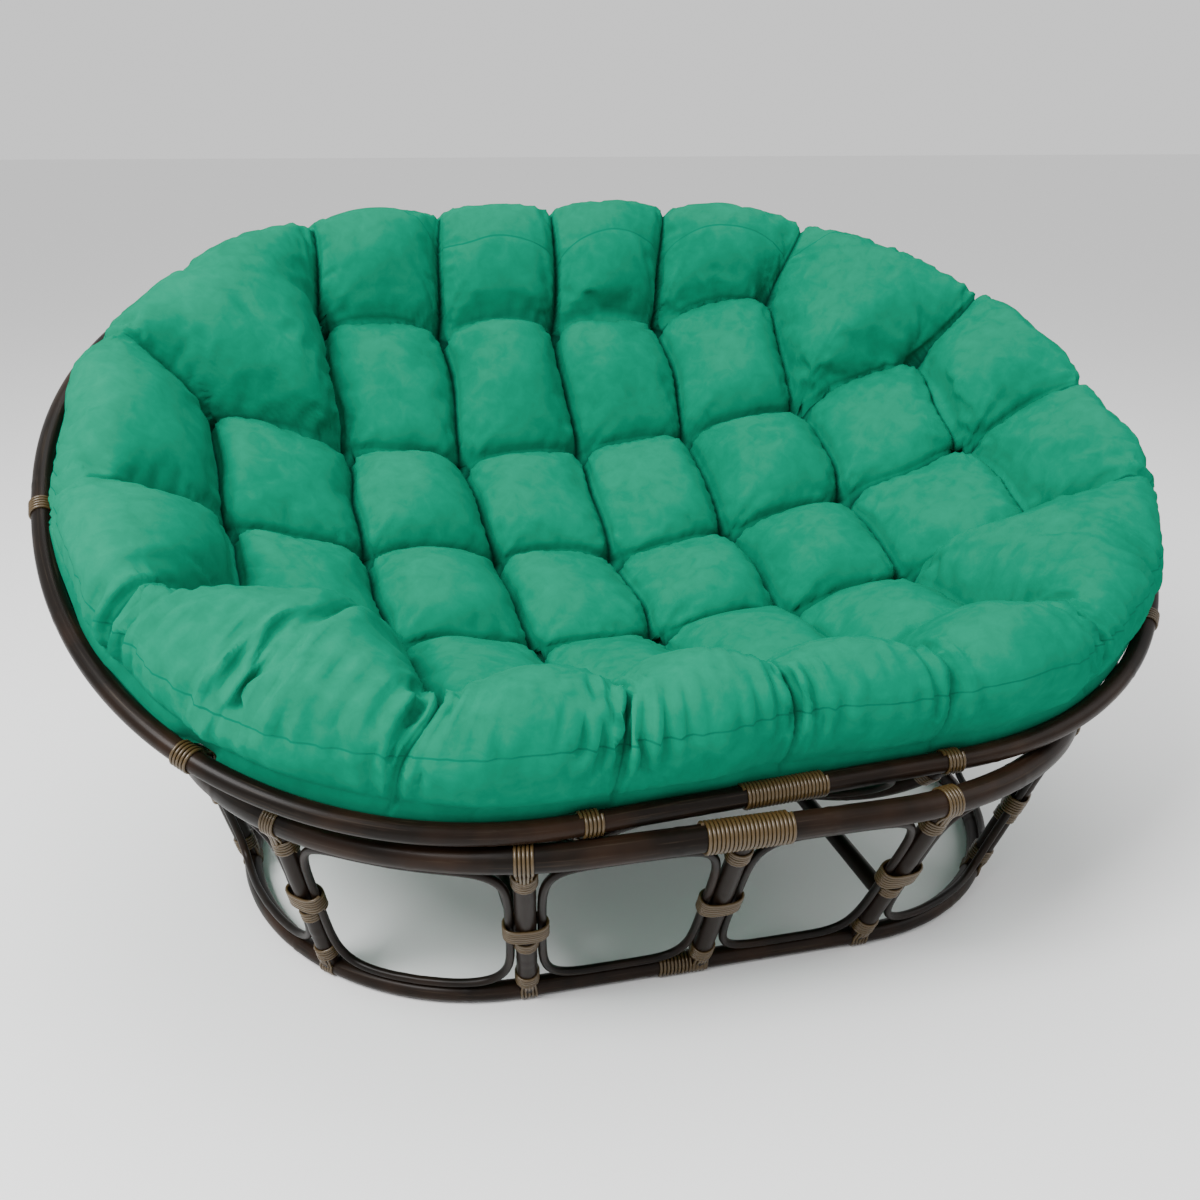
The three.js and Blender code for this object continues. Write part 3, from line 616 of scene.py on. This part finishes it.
# Smooth wandering values in two directions, for uneven filling and creases
def wander(x, y, scale, seed):
    rng = np.random.default_rng(seed)
    total = np.zeros(np.broadcast(x, y).shape)
    for k in range(7):
        angle = rng.uniform(0, 2 * np.pi)
        wave = rng.uniform(0.7, 1.5) / scale
        total += np.sin((x * np.cos(angle) + y * np.sin(angle)) * wave * 2 * np.pi + rng.uniform(0, 6.28))
    return total / math.sqrt(7 / 2) / 1.4


# Tufts lie at whole numbers of this net, in the bowl's frame
def netPlace(i, j):
    return cushion["shiftX"] + i * cushion["pitchX"], cushion["shiftY"] + j * cushion["pitchY"]


def netSurface(i, j):
    x, y = netPlace(i, j)
    u = arch(2 * np.minimum(i % 1, 1 - i % 1))
    v = arch(2 * np.minimum(j % 1, 1 - j % 1))
    full = 1 + 0.16 * wander(x, y, 0.5, 3)
    dome = (u * v) ** 1.3
    rise = cushion["creaseRise"] * (u + v - u * v) + (cushion["pillowRise"] * full - cushion["creaseRise"]) * dome
    return np.stack([x, y, seatHeight(x, y) + rise], -1)


# Creases that meet the rim a little aside, and folds part of the way along a lobe
edgeShares = {(2, 2): -0.035, (-3, 0): 0.05, (-3, -1): 0.015, **{(i, -2): -0.02 for i in range(-2, 3)}}
lobeFolds = {15: (0.52, 0.55), 4: (0.42, 0.35), 12: (0.55, 0.2), 7: (0.6, 0.15)}

# Each outer lobe stands on a chain of tufts; a corner lobe takes in the net's open corner
lobeChains = [[(i, -2), (i + 1, -2)] for i in range(-2, 2)]
lobeChains += [[(2, -2), (2, -1), (3, -1)], [(3, -1), (3, 0)], [(3, 0), (3, 1)], [(3, 1), (2, 1), (2, 2)]]
lobeChains += [[(i, 2), (i - 1, 2)] for i in range(2, -2, -1)]
lobeChains += [[(-2, 2), (-2, 1), (-3, 1)], [(-3, 1), (-3, 0)], [(-3, 0), (-3, -1)], [(-3, -1), (-2, -1), (-2, -2)]]


# Where the crease from a tuft meets the rim: nearly square to it
def rimShareOf(knot):
    x, y = netPlace(*knot)
    nearest = 4 * int(np.argmin(np.hypot(rimRun[:-1, 0] - x, rimRun[:-1, 1] - y))) / (len(rimRun) - 1)
    turn = np.abs(np.angle(np.exp(1j * (rimAngle - math.atan2(y, x)))))
    radial = 4 * int(np.argmin(turn)) / (len(rimRun) - 1)
    return nearest + 0.15 * ((radial - nearest + 2) % 4 - 2) + edgeShares.get(knot, 0)


def smoothStep(t):
    t = np.clip(t, 0, 1)
    return t * t * (3 - 2 * t)


def cellPart():
    even = np.linspace(0, 1, cushion["cellSteps"] + 1)
    return 0.55 * even + 0.45 * (1 - np.cos(np.pi * even)) / 2   # closer together at the creases


def netSheets():
    part = cellPart()
    sheets = []
    for i in range(-3, 3):
        for j in range(-2, 2):
            if i in (-3, 2) and j in (-2, 1):
                continue
            u, v = np.meshgrid(part, part, indexing="ij")
            free = np.minimum(np.minimum(u, 1 - u) * cushion["pitchX"], np.minimum(v, 1 - v) * cushion["pitchY"])
            sheets.append({"points": netSurface(i + u, j + v), "free": np.clip(free / cushion["heldWidth"], 0, 1),
                           "crease": free, "seam": np.ones(u.shape), "gather": np.zeros(u.shape)})
    return sheets


# The outer lobes, from the net's border over the edge and down into the bowl
def lobeSheet():
    stations, creaseParts, lobeParts, lobes, shares, widths = [], [], [], [], [], []
    for k, chain in enumerate(lobeChains):
        first = rimShareOf(chain[0])
        span = (rimShareOf(chain[-1]) - first) % 4
        for n in range(len(chain) - 1):
            for p in cellPart()[:-1]:
                stations.append([chain[n][m] + (chain[n + 1][m] - chain[n][m]) * p for m in (0, 1)])
                creaseParts.append(p)
                lobeParts.append((n + p) / (len(chain) - 1))
                lobes.append(k)
                shares.append(first + span * lobeParts[-1])
                widths.append(span * runLength(rimRun) / 4)
    stations, creaseParts, lobeParts = np.array(stations), np.array(creaseParts), np.array(lobeParts)
    lobes, shares, widths = np.array(lobes), np.array(shares), np.array(widths)
    x, y = netPlace(stations[:, 0], stations[:, 1])
    borderArch = arch(2 * np.minimum(creaseParts, 1 - creaseParts))
    border = np.stack([x, y, seatHeight(x, y) + cushion["creaseRise"] * borderArch], 1)
    rim = atShare(rimRun, shares)[:, :2]
    outwards = unit(rim)
    front = frontness(rim[:, 1])
    toCrease = arch(2 * np.minimum(lobeParts, 1 - lobeParts))
    swell = (0.6 * toCrease + 0.4 * np.sin(np.pi * lobeParts)) * (1 + 0.08 * np.sin(lobes * 2.3 + 1))
    fold = np.zeros(len(rim))
    for k, (place, depth) in lobeFolds.items():
        fold += depth * (lobes == k) * np.exp(-(np.abs(lobeParts - place) * widths / cushion["foldReach"]) ** 1.3)
    crest = cushion["crest"] + cushion["frontCrest"] * front
    crestRho = cushion["crestShare"] + (cushion["frontCrestShare"] - cushion["crestShare"]) * front

    def edgePlace(inwards, crestPart, drawnIn=1.0):
        rho = cushion["bulge"] + (crestRho - cushion["bulge"]) * inwards
        drawn = (1 - swell * (1 - fold)) * drawnIn
        place = rim * rho[:, None] - outwards * (cushion["lobePull"] * drawn)[:, None]
        place[:, 0] += cushion["topShift"] * crestPart * (1 - 0.8 * front)
        height = (crest - cushion["lobeDrop"] * drawn) * crestPart
        return np.c_[place, height]

    rows = [border]
    crestLine = edgePlace(np.ones(len(rim)), 1.0)
    for o in np.linspace(0, 1, cushion["outerSteps"] + 1)[1:]:
        o = 0.4 * o + 0.6 * o ** 1.6
        rise = crestLine[:, 2] - border[:, 2]
        full = border[:, 2] + rise * (0.75 * arch(o) + 0.25 * np.sin(np.pi / 2 * o))
        creased = border[:, 2] + rise * (o ** 0.85)
        height = creased + (full - creased) * np.clip(swell, 0, 1.2) * (1 - fold * smoothStep((o - 0.2) / 0.5))
        rows.append(np.c_[border[:, :2] + (crestLine[:, :2] - border[:, :2]) * o, height])
    for d in np.linspace(0, 1, 26)[1:]:
        inwards = np.full(len(rim), np.interp(d, cushion["edgeAt"], cushion["edgeInwards"]))
        fade = 1 - 0.85 * np.clip((d - 0.3) / 0.5, 0, 1)
        rows.append(edgePlace(inwards, np.interp(d, cushion["edgeAt"], cushion["edgeHeights"]), fade))
    edgeRows = len(rows) - 1
    # the lower edge fills out to the rim's inner side, and gives way at each rib
    tangent = tangentAt(rimRun, shares, 0.01)[:, :2]
    normal = np.c_[tangent[:, 1], -tangent[:, 0]]
    aside = np.abs((shares[:, None] - np.array(bowl["ribShares"]) + 2) % 4 - 2).min(1) * runLength(rimRun) / 4
    byRib = (1 - smoothStep((aside - cushion["ribBerth"]) / cushion["ribEase"]))[:, None]
    shrink = 1 - (bowl["ribRadius"] + cushion["overRibs"]) / arcRadius

    def soleRow(share):
        sole = lowered(np.c_[rim, np.zeros(len(rim))], np.full(len(rim), share))
        return np.c_[sole[:, :2] * shrink, arcRise + (sole[:, 2] - arcRise) * shrink]

    for inset, height, share in cushion["lowerEdge"]:
        byRim = np.c_[rim - normal * inset, np.full(len(rim), height)]
        rows.append(byRim + (soleRow(share) - byRim) * byRib)
    rows += [soleRow(share) for share in cushion["soleShares"]]
    grid = np.stack(rows, 0)
    row = np.arange(len(grid))
    for _ in range(6):   # the profile's corners are eased by averaging along each station
        keep = np.zeros((len(grid) - 2, 1, 1))
        keep[cushion["outerSteps"] - 6:edgeRows - 2] = 0.5
        grid[1:-1] += keep * ((grid[:-2] + grid[2:]) / 2 - grid[1:-1])
    # how free the cover is: held at creases, at the net's border and under the edge
    fromCrease = np.minimum(lobeParts, 1 - lobeParts) * widths
    fromBorder = np.linalg.norm(grid - grid[:1], axis=2)
    free = np.clip(np.minimum(fromBorder, fromCrease[None]) / cushion["heldWidth"], 0, 1)
    low = np.clip((row - cushion["outerSteps"] - 9) / 8, 0, 1)[:, None]
    free = np.maximum(free, 0.6 * low) * np.clip((edgeRows - 2 - row) / 8, 0, 1)[:, None]
    # the sewn seam: inside the back lobes, over the sides, and on the front band's face
    along = np.concatenate([np.zeros((1, len(rim))), np.cumsum(np.linalg.norm(np.diff(grid, axis=0), axis=2), 0)])
    inside = smoothStep((shares % 4 - 1.42) / 0.15) * smoothStep((2.3 - shares % 4) / 0.2)
    signed = (shares + 2) % 4 - 2
    frontLeft = smoothStep((-0.25 - signed) / 0.35) * smoothStep((signed + 1.6) / 0.3)
    seamRow = cushion["outerSteps"] + 10 + 4 * frontLeft - (10 + 0.36 * cushion["outerSteps"]) * inside
    seamAlong = np.array([np.interp(seamRow[k], row, along[:, k]) for k in range(len(rim))])
    seam = along - seamAlong
    # gathers beside each crease, square to the rim, strongest over the crest and down the band
    down = along - along[cushion["outerSteps"]]
    band = np.exp(-((down - cushion["bandMiddle"]) / cushion["bandReach"]) ** 2) * (row < edgeRows - 1)[:, None]
    gather = np.zeros(down.shape)
    gatherDepth = cushion["gatherBack"] + cushion["gatherFront"] * np.clip(1.6 * front, 0, 1)
    for k in range(len(lobeChains)):
        rng = np.random.default_rng(300 + k)
        inLobe = lobes == k
        for place in (0, 1) + ((lobeFolds[k][0],) if k in lobeFolds else ()):
            away = np.abs(lobeParts - place)[inLobe] * widths[inLobe]
            reach = rng.uniform(*cushion["gatherReach"])
            for _ in range(cushion["gatherWaves"]):
                slant = down[:, inLobe] * rng.uniform(-cushion["gatherSlant"], cushion["gatherSlant"])
                phase = (away + slant) * 2 * np.pi / rng.uniform(*cushion["gatherSpacing"]) + rng.uniform(0, 6.28)
                wave = np.cos(phase) + 0.4 * np.cos(2 * phase) + 0.15 * np.cos(3 * phase)
                start = np.clip(away / cushion["gatherStart"], 0, 1)
                gather[:, inLobe] += (gatherDepth[inLobe] * rng.uniform(0.4, 1) * wave * start
                                      * np.exp(-away / reach) * band[:, inLobe])
    crease = np.minimum(fromBorder, fromCrease[None] + 0.02 * np.clip(down, 0, 1)) + 0.02 * (row > edgeRows)[:, None]
    sheet = {"points": grid, "free": free, "crease": crease, "seam": seam, "gather": gather}
    return {name: np.concatenate([part, part[:, :1]], 1) for name, part in sheet.items()}


# Each sheet is a grid, and all are joined into one closed cover
def makeCushion():
    parts = []
    for shape in netSheets() + [lobeSheet()]:
        a, b = shape["points"].shape[:2]
        deselectAll()
        bpy.ops.mesh.primitive_grid_add(x_subdivisions=b - 1, y_subdivisions=a - 1, size=1)
        sheet = bpy.context.object
        sheet.data.vertices.foreach_set("co", shape["points"].astype(np.float32).ravel())
        for name in ("free", "crease", "seam", "gather"):
            layer = sheet.data.attributes.new(name, "FLOAT", "POINT")
            layer.data.foreach_set("value", shape[name].astype(np.float32).ravel())
        sheet.data.update()
        parts.append(sheet)
    deselectAll()
    for part in parts:
        part.select_set(True)
    bpy.context.view_layer.objects.active = parts[-1]
    bpy.ops.object.join()
    pad = bpy.context.object
    pad.name = "cushionTufted"
    bpy.ops.object.mode_set(mode="EDIT")
    bpy.ops.mesh.select_all(action="SELECT")
    bpy.ops.mesh.remove_doubles(threshold=0.0004)
    bpy.ops.mesh.select_all(action="SELECT")
    bpy.ops.mesh.normals_make_consistent(inside=False)
    bpy.ops.object.mode_set(mode="OBJECT")
    return pad


def pointValues(mesh, name):
    values = np.zeros(len(mesh.vertices), np.float32)
    mesh.attributes[name].data.foreach_get("value", values)
    return values


def pointVectors(mesh, name):
    values = np.zeros(len(mesh.vertices) * 3, np.float32)
    mesh.vertices.foreach_get(name, values)
    return values.reshape(-1, 3)


# Air pressure swells the cover between the lines where it is drawn in; a negative shrink is spare cloth
cover = {
    "furthest": 0.026, "frames": 20,
    "settings": {"quality": 4, "mass": 0.35, "tension_stiffness": 12, "compression_stiffness": 12,
                 "shear_stiffness": 4, "bending_stiffness": 1.2, "air_damping": 2, "pin_stiffness": 8,
                 "use_pressure": True, "uniform_pressure_force": 4.5, "shrink_min": -0.025},
}


def swellCover(pad):
    free = pointValues(pad.data, "free")
    before = pointVectors(pad.data, "co")
    held = pad.vertex_groups.new(name="held")
    steps = np.round((1 - free) * 10).astype(int)
    for step in range(1, 11):
        held.add([int(k) for k in np.nonzero(steps == step)[0]], step / 10, "REPLACE")
    deselectAll()
    pad.select_set(True)
    bpy.context.view_layer.objects.active = pad
    bpy.ops.object.modifier_add(type="CLOTH")
    cloth = pad.modifiers[-1]
    for name, value in cover["settings"].items():
        setattr(cloth.settings, name, value)
    cloth.settings.vertex_group_mass = held.name
    cloth.settings.effector_weights.gravity = 0
    cloth.collision_settings.use_collision = False
    cloth.point_cache.frame_start = 1
    cloth.point_cache.frame_end = cover["frames"]
    for step in range(1, cover["frames"] + 1):
        bpy.context.scene.frame_set(step)
    bpy.ops.object.modifier_apply(modifier=cloth.name)
    bpy.context.scene.frame_set(1)
    pad.vertex_groups.clear()
    move = pointVectors(pad.data, "co") - before
    far = np.linalg.norm(move, axis=1, keepdims=True)
    print("cover moved by up to", round(float(far.max()), 4), "m, mean", round(float(far.mean()), 4))
    move *= cover["furthest"] * np.tanh(far / cover["furthest"]) / np.maximum(far, 1e-9)
    pad.data.vertices.foreach_set("co", (before + move).ravel())
    pad.data.update()


pad = makeCushion()
swellCover(pad)
mesh = pad.data
co, normal = pointVectors(mesh, "co").astype(float), pointVectors(mesh, "normal").astype(float)
edgeUses = Counter(key for face in mesh.polygons for key in face.edge_keys)
print("cushion:", len(co), "points,", sum(1 for uses in edgeUses.values() if uses != 2), "open edges")

# Small folds that run out from each tuft, a pit at it, and a shallow one under it
pits = {
    "within": 0.16, "folds": 0.0022, "foldReach": 0.026, "depth": 0.012, "reach": 0.018,
    "underDepth": 0.009, "underReach": 0.040,
    "seamDepth": 0.0012, "seamReach": 0.005, "creaseDepth": 0.007, "creaseReach": 0.005,
}
tufts = [netPlace(i, j) for i in range(-3, 4) for j in range(-2, 3) if abs(i) + abs(j) <= 4]
move = np.zeros(len(co))
for k, (tx, ty) in enumerate(tufts):
    rng = np.random.default_rng(100 + k)
    dx, dy = co[:, 0] - tx, co[:, 1] - ty
    r = np.hypot(dx, dy)
    near = (r < pits["within"]) & (normal[:, 2] > 0)
    angle = np.arctan2(dy[near], dx[near])
    folds = sum(rng.uniform(0.5, 1) * np.cos(n * angle + rng.uniform(0, 6.28)) for n in (7, 10, 13, 17)) / 2
    part = r[near] / pits["foldReach"]
    move[near] += pits["folds"] * folds * part * np.exp(1 - part)
    move[near] -= pits["depth"] * np.exp(-(r[near] / pits["reach"]) ** 2)
    under = (r < pits["within"]) & (normal[:, 2] < -0.2)
    move[under] -= pits["underDepth"] * np.exp(-(r[under] / pits["underReach"]) ** 2)
seamLine = pits["seamDepth"] * np.exp(-(pointValues(mesh, "seam") / pits["seamReach"]) ** 2)
creaseLine = pits["creaseDepth"] * np.exp(-(pointValues(mesh, "crease") / pits["creaseReach"]) ** 2)
move += pointValues(mesh, "gather") - seamLine - creaseLine
co += normal * move[:, None]

# Uneven filling pushes the creases aside, but not the underside
unevenness = ((0.006, 0.28, 11), (0.0025, 0.12, 13))   # how far, over what distance, seed
above = np.clip((co[:, 2] - 0.012) / 0.03, 0, 1) + np.clip((normal[:, 2] - 0.1) * 3, 0, 1)
above = np.clip(above, 0, 1)
aside = [sum(far * wander(co[:, 0], co[:, 1], scale, seed + k) for far, scale, seed in unevenness) for k in (0, 1)]
for k in (0, 1):
    co[:, k] += aside[k] * above
mesh.vertices.foreach_set("co", toChair(co).astype(np.float32).ravel())
mesh.update()
deselectAll()
pad.select_set(True)
bpy.context.view_layer.objects.active = pad
bpy.ops.object.shade_smooth()

suedeLook = {
    "mid": (0.003, 0.158, 0.086), "light": (0.004, 0.176, 0.097), "deep": (0.002, 0.138, 0.074),
    # crease is painted shade: a dark green laid along each crease, where shade falls
    "stitch": (0.002, 0.110, 0.062), "crease": (0.001, 0.030, 0.018),
    "brushedShare": 0.4, "spread": (0.36, 0.64),
    "shader": {"Roughness": 1.0, "Sheen Weight": 0.01, "Sheen Roughness": 0.5, "Sheen Tint": (0.3, 0.95, 0.7, 1),
               "Specular IOR Level": 0.0},
}


# 1 on a line, falling to 0 beside it, from the distance that the mesh carries
def lineMask(nodes, links, attribute, near, far, strength):
    away = addNode(nodes, "Attribute", attribute_name=attribute)
    wide = addNode(nodes, "Math", operation="ABSOLUTE")
    links.new(away.outputs["Fac"], wide.inputs[0])
    mask = addNode(nodes, "MapRange", {"From Min": near, "From Max": far, "To Min": strength, "To Max": 0})
    links.new(wide.outputs["Value"], mask.inputs["Value"])
    return mask.outputs["Result"]


def suedeMaterial(name, look):
    material, nodes, links, shader = newMaterial(name, **look["shader"])
    place = addNode(nodes, "TexCoord")
    nap = addNode(nodes, "TexNoise", {"Scale": 38, "Detail": 7, "Roughness": 0.62, "Distortion": 0.5})
    brushed = addNode(nodes, "TexNoise", {"Scale": 7, "Detail": 3})
    fuzz = addNode(nodes, "TexNoise", {"Scale": 900, "Detail": 2})
    for noiseNode in (nap, brushed, fuzz):
        links.new(place.outputs["Object"], noiseNode.inputs["Vector"])
    blended = addNode(nodes, "Mix", {0: look["brushedShare"]})
    links.new(nap.outputs["Fac"], blended.inputs[2])
    links.new(brushed.outputs["Fac"], blended.inputs[3])
    ramp = addNode(nodes, "ValToRGB")
    stops = ramp.color_ramp.elements
    stops[0].position, stops[0].color = look["spread"][0], (*look["deep"], 1)
    stops[1].position, stops[1].color = look["spread"][1], (*look["light"], 1)
    stops.new(0.5).color = (*look["mid"], 1)
    links.new(blended.outputs[0], ramp.inputs["Fac"])
    # Painted shade: the colour darkens to the crease colour within about 3 mm of each crease line
    creaseShadeMask = lineMask(nodes, links, "crease", 0.0002, 0.0032, 0.85)
    seamMask = lineMask(nodes, links, "seam", 0.0004, 0.0016, 1)
    shaded = addColorMix(nodes, links, creaseShadeMask, ramp.outputs["Color"], look["crease"])
    links.new(addColorMix(nodes, links, seamMask, shaded, look["stitch"]), shader.inputs["Base Color"])
    bump = addNode(nodes, "Bump", {"Strength": 0.12, "Distance": 0.0008})
    links.new(fuzz.outputs["Fac"], bump.inputs["Height"])
    links.new(bump.outputs["Normal"], shader.inputs["Normal"])
    return material


suede = suedeMaterial("suedeGreen", suedeLook)
mesh.materials.clear()
mesh.materials.append(suede)
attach(pad, "cushion")
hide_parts("cushion")
print("cushion made")

# Floor, light and camera
studio = {
    "floorSize": 120, "floorBelow": 0.0006, "floorPaint": (0.86, 0.86, 0.86, 1), "floorRoughness": 0.75,
    "surround": 0.95, "aim": (0, 0, 0.5),
    "lights": [
        {"name": "keyLight", "at": (-2.3, -1.6, 3.2), "size": 1.8, "power": 250},
        {"name": "fillLight", "at": (2.8, -1.6, 2.4), "size": 2.4, "power": 34},
        {"name": "topLight", "at": (0.2, 0.9, 3.6), "size": 3.0, "power": 66},
    ],
}
deselectAll()
bpy.ops.mesh.primitive_plane_add(size=studio["floorSize"], location=(0, 0, -studio["floorBelow"]))
floor = bpy.context.object
floor.name = "studioFloor"
floorPaint = newMaterial("paleFloor", **{"Base Color": studio["floorPaint"], "Roughness": studio["floorRoughness"]})[0]
floor.data.materials.append(floorPaint)

world = bpy.context.scene.world or bpy.data.worlds.new("studioWorld")
bpy.context.scene.world = world
world.use_nodes = True
world.node_tree.nodes["Background"].inputs["Color"].default_value = (1, 1, 1, 1)
world.node_tree.nodes["Background"].inputs["Strength"].default_value = studio["surround"]
for light in studio["lights"]:
    bpy.ops.object.light_add(type="AREA", location=light["at"])
    lamp = bpy.context.object
    lamp.name = light["name"]
    lamp.data.size = light["size"]
    lamp.data.energy = light["power"]
    lamp.rotation_euler = (Vector(studio["aim"]) - Vector(light["at"])).to_track_quat("-Z", "Y").to_euler()

# The photograph's view: metres and radians, and the lens in pixels of the picture's width
view = {"azimuth": -0.24852, "elevation": 0.3881, "at": (-0.50218, -1.78881, 1.08451),
        "focal": 1239.23, "shiftX": -7.06, "shiftY": 39.19, "picture": 1200, "sensor": 36}
bpy.ops.object.camera_add(location=view["at"])
camera = bpy.context.object
camera.name = "photoCamera"
camera.rotation_euler = (math.pi / 2 - view["elevation"], 0, view["azimuth"])
camera.data.sensor_width = view["sensor"]
camera.data.sensor_fit = "HORIZONTAL"
camera.data.lens = view["focal"] / view["picture"] * view["sensor"]
camera.data.shift_x = -view["shiftX"] / view["picture"]
camera.data.shift_y = view["shiftY"] / view["picture"]
bpy.context.scene.camera = camera
